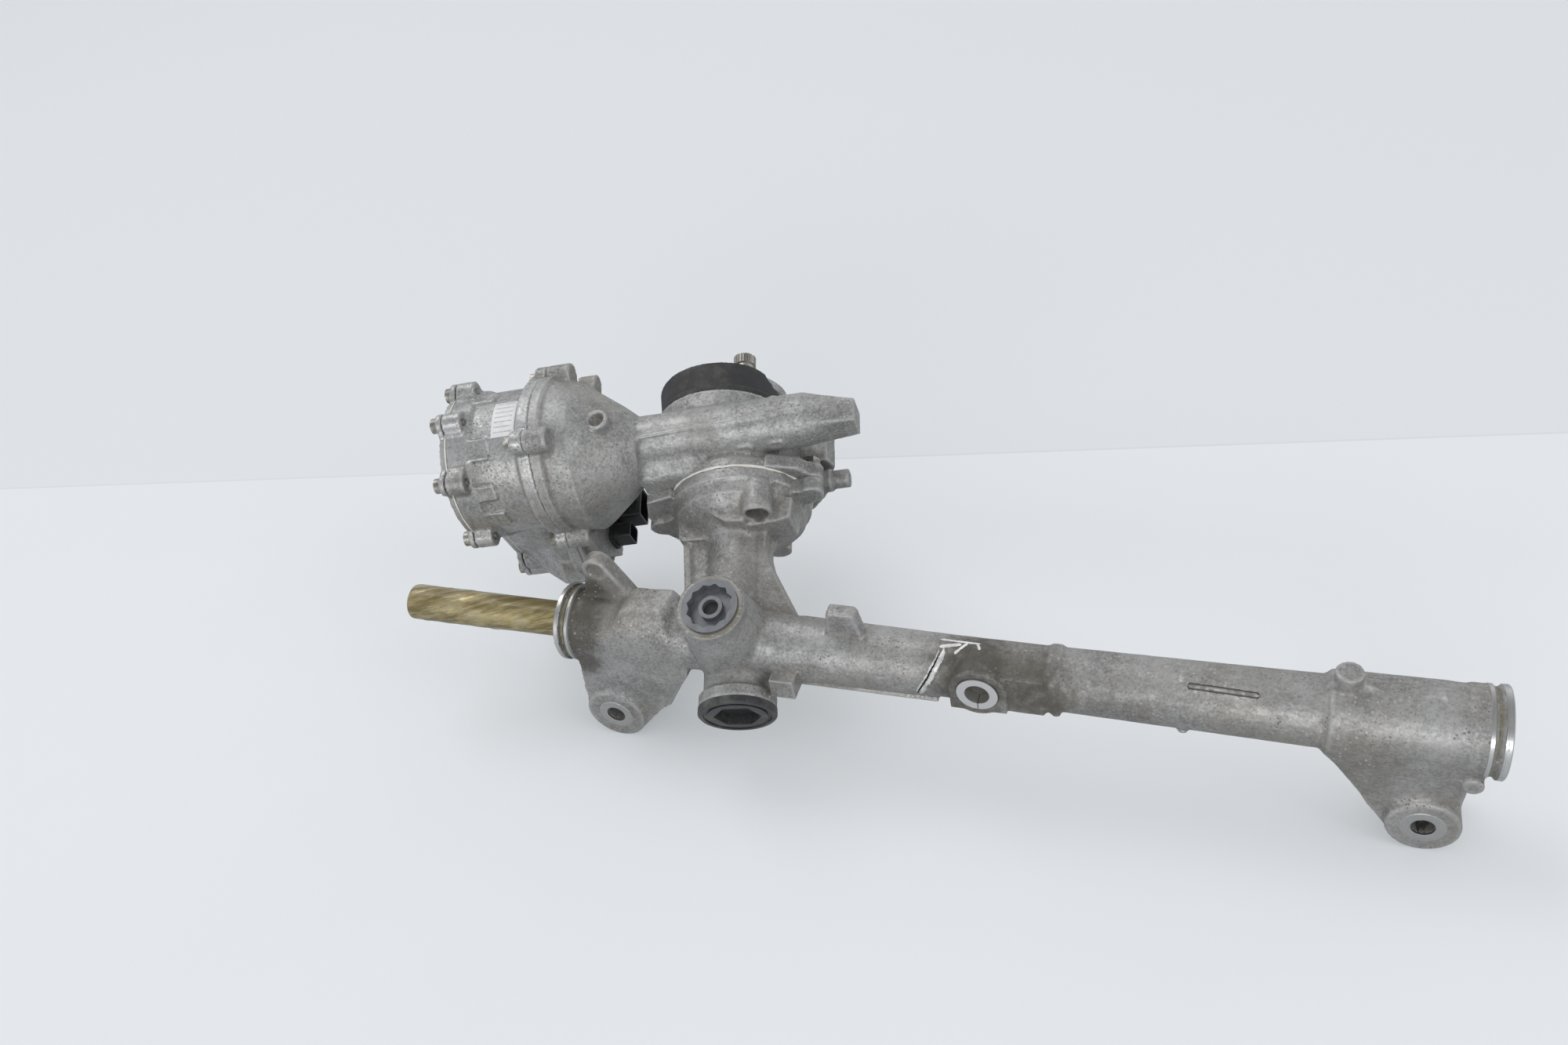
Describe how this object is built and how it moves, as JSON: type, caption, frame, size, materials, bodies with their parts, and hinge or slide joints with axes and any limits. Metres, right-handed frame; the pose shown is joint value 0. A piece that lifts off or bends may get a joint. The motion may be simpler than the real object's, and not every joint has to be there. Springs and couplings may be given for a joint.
{
  "type": "steering rack",
  "caption": "Electric power steering rack: tube housing with three lugs, leaning pinion tower, worm gearbox with motor, sliding rack bar and splined input.",
  "frame": {"origin": "centre of the left boot seat's outer face, on the rack bar's axis", "axes": "+X along the rack bar toward the right seat, -Y out of the front faces of the lug bores, +Z away from the lug tips"},
  "size_m": [0.74, 0.2892, 0.227],
  "materials": {
    "cast_housing": "as cast, sand-blasted look",
    "machined_steel": "turned and ground",
    "bearing_steel": "ground",
    "plated_fastener": "zinc plated",
    "black_rubber": "matt moulded",
    "black_plastic": "moulded",
    "black_cap": "black coated steel",
    "grey_plug": "grey coated zinc",
    "white_nylon": "natural nylon",
    "bronze": "sintered",
    "copper_wire": "enamelled",
    "laminated_steel": "stacked sheet",
    "magnet": "coated magnet",
    "board_green": "solder mask",
    "white_sealant": "cured bead",
    "white_label": "bare paper film",
    "spring_steel": "oil tempered"
  },
  "bodies": {
    "housing": {"rack_housing": "cast_housing", "pad_sleeve": "machined_steel", "rack_bushing": "white_nylon", "bushing_ring": "bearing_steel", "stop_rings": "black_rubber", "yoke_spring": "spring_steel", "yoke_plug": "grey_plug", "plug_core": "black_cap", "pinion_cap": "black_cap", "pinion_outer_rings": "bearing_steel", "bearing_clip": "bearing_steel", "sensor_block": "black_plastic", "sensor_cover": "cast_housing", "input_bushing": "bronze", "input_seal": "black_rubber", "dash_seal": "black_rubber", "worm_housing": "cast_housing", "joint_bead": "white_sealant", "bowl_bolts": "plated_fastener", "worm_outer_rings": "bearing_steel", "worm_clip": "bearing_steel", "motor_housing": "cast_housing", "motor_cover": "cast_housing", "cover_gasket": "white_sealant", "cover_screws": "plated_fastener", "flange_bolts": "plated_fastener", "stator_core": "laminated_steel", "stator_windings": "copper_wire", "motor_outer_rings": "bearing_steel", "control_board": "board_green", "board_parts": "black_plastic", "power_socket": "black_plastic", "signal_socket": "black_plastic", "socket_pins": "copper_wire", "bare_label": "white_label"},
    "rack": {"rack_bar": "machined_steel"},
    "pinion": {"pinion_shaft": "machined_steel", "pinion_inner_rings": "bearing_steel", "pinion_ball_rings": "bearing_steel", "wheel_hub": "machined_steel", "wheel_rim": "white_nylon", "wheel_nut": "machined_steel", "torsion_bar": "machined_steel", "sensor_cup": "plated_fastener"},
    "input": {"input_shaft": "machined_steel", "sensor_magnet": "magnet"},
    "worm": {"worm_shaft": "machined_steel", "worm_inner_rings": "bearing_steel", "worm_ball_rings": "bearing_steel", "coupling_hubs": "machined_steel", "coupling_spider": "black_rubber", "motor_shaft": "machined_steel", "rotor_core": "laminated_steel", "rotor_magnets": "magnet", "motor_inner_rings": "bearing_steel"},
    "yoke_piston": {"yoke": "cast_housing", "yoke_liner": "white_nylon", "yoke_seal": "black_rubber"}
  },
  "joints": [
    {"name": "worm_spin", "type": "hinge", "parent": "housing", "child": "worm", "pos_m": [0.09224, 0.1233, 0.08615], "axis": [0.9728, 0.2165, 0.0827], "range_deg": [-20920.98, 20]},
    {"name": "rack_slide", "type": "slide", "parent": "housing", "child": "rack", "axis": [1, 0, 0], "range_m": [0, 0.15]},
    {"name": "pinion_spin", "type": "hinge", "parent": "housing", "child": "pinion", "pos_m": [0.127, 0.00482, -0.01261], "axis": [-0.2317, 0.9088, 0.347], "range_deg": [-2, 1047.05]},
    {"name": "input_twist", "type": "hinge", "parent": "pinion", "child": "input", "pos_m": [0.08065, 0.18657, 0.05679], "axis": [-0.2317, 0.9088, 0.347], "range_deg": [-4, 4], "stiffness_Nm_per_rad": 120},
    {"name": "yoke_float", "type": "slide", "parent": "housing", "child": "yoke_piston", "axis": [0, -0.3567, 0.9342], "range_m": [0, 0.00008], "stiffness_N_per_m": 40000, "springref_m": -0.001}
  ],
  "couplings": [
    {"joint": "worm_spin", "follows": "rack_slide", "rad_per_m": -2431.9},
    {"joint": "pinion_spin", "follows": "rack_slide", "rad_per_m": 121.6}
  ]
}
